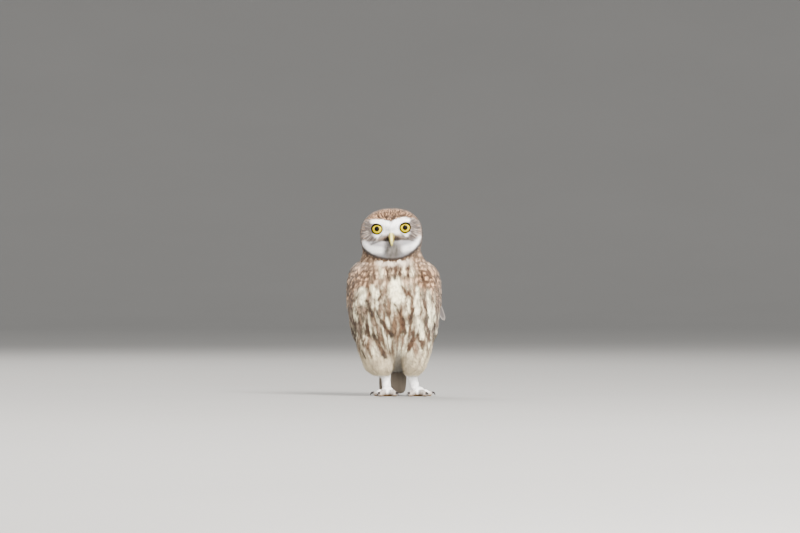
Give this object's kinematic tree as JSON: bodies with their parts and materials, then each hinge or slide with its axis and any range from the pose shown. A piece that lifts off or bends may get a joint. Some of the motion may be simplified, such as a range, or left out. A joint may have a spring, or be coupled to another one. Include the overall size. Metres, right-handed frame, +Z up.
{
  "type": "little owl",
  "caption": "Life-size little owl standing upright on both feet, wings folded and tail down, looking straight ahead, as a still museum-style model.",
  "frame": {"origin": "on the floor, under the middle of the whole owl's box", "axes": "+Z up, the owl faces -Y, its own left is +X"},
  "size_m": [0.1108, 0.095, 0.2097],
  "materials": {
    "head_feathers": "soft barbed feather, brown crown with pale streaks, white brows and cheeks",
    "body_feathers": "soft barbed feather, white with rufous-brown drop streaks",
    "wing_feathers": "firm feather vanes, brown with pale spots and bars",
    "leg_feathers": "short cream-white feathering",
    "toe_skin": "scaled skin with thin pale bristles",
    "claw": "smooth dark horn",
    "eye": "wet, clear over a yellow iris and black pupil",
    "bill": "satin pale horn"
  },
  "bodies": {
    "root": {"head": "head_feathers", "neck": "body_feathers", "torso": "body_feathers", "wing_left": "wing_feathers", "wing_right": "wing_feathers", "tail": "wing_feathers", "thigh_left": "leg_feathers", "thigh_right": "leg_feathers", "shank_left": "leg_feathers", "shank_right": "leg_feathers", "foot_left": "toe_skin", "foot_right": "toe_skin", "toe_hind_left": "toe_skin", "toe_inner_left": "toe_skin", "toe_middle_left": "toe_skin", "toe_outer_left": "toe_skin", "toe_hind_right": "toe_skin", "toe_inner_right": "toe_skin", "toe_middle_right": "toe_skin", "toe_outer_right": "toe_skin", "claw_hind_left": "claw", "claw_inner_left": "claw", "claw_middle_left": "claw", "claw_outer_left": "claw", "claw_hind_right": "claw", "claw_inner_right": "claw", "claw_middle_right": "claw", "claw_outer_right": "claw", "eye_left": "eye", "eye_right": "eye", "bill_upper": "bill", "bill_lower": "bill"}
  },
  "joints": []
}
